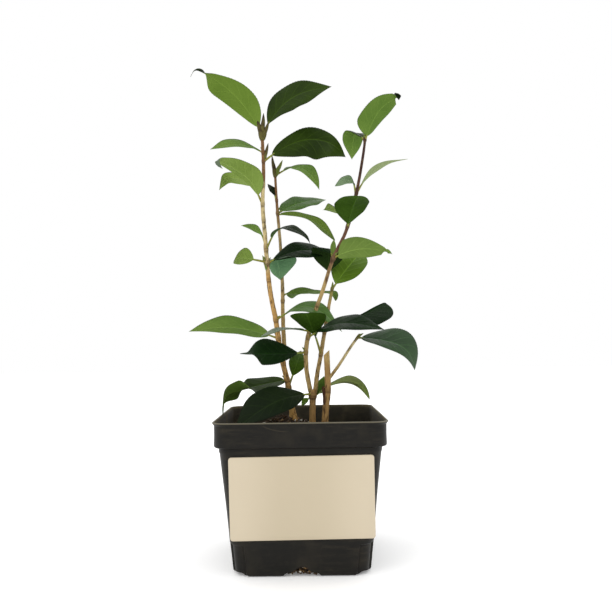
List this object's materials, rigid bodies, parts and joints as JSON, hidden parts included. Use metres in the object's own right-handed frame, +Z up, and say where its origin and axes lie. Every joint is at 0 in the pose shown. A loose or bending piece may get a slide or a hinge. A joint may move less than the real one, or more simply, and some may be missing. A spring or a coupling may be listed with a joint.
{
  "type": "potted camellia",
  "caption": "Young camellia shrub with slender leafy canes, growing in a square plastic nursery pot with a blank label on its front.",
  "frame": {"origin": "middle of the pot's flat underside, on the surface that it stands on", "axes": "+Z up along the canes, -Y out of the side that carries the label, +X to that side's right"},
  "size_m": [0.1591, 0.108, 0.333],
  "materials": {
    "pot_plastic": "black moulded plastic, dusty satin",
    "label_card": "plain cream, smooth",
    "potting_mix": "dark peat and bark chips, rough",
    "bark": "tan bark with fine rings, matt",
    "leaves_young": "fresh green, waxy above and matt below",
    "leaves_grown": "dark green, waxy above and matt below"
  },
  "bodies": {
    "root": {"pot": "pot_plastic", "label": "label_card", "potting_mix": "potting_mix", "cane_left": "bark", "cane_middle": "bark", "stump_right": "bark", "bough_left": "bark", "bough_inner": "bark", "bough_right": "bark", "bough_centre": "bark", "bough_side": "bark", "leaves_left_top": "leaves_young", "leaves_left_middle": "leaves_young", "leaves_inner_top": "leaves_young", "leaves_right_top": "leaves_young", "leaves_right_upper": "leaves_young", "leaves_right_middle": "leaves_young", "leaves_centre_top": "leaves_young", "leaves_side": "leaves_young", "leaf_left_low": "leaves_grown", "leaf_left_cross": "leaves_grown", "leaf_foot_outer": "leaves_grown", "leaf_foot_back": "leaves_grown", "leaf_inner_low": "leaves_grown", "leaf_middle_front": "leaves_grown", "leaf_middle_small": "leaves_grown", "leaf_middle_back": "leaves_grown", "leaf_right_edge": "leaves_grown", "leaf_right_dark": "leaves_grown", "leaf_right_long": "leaves_grown", "leaf_centre_back": "leaves_grown", "leaf_centre_fan": "leaves_grown"}
  },
  "joints": []
}
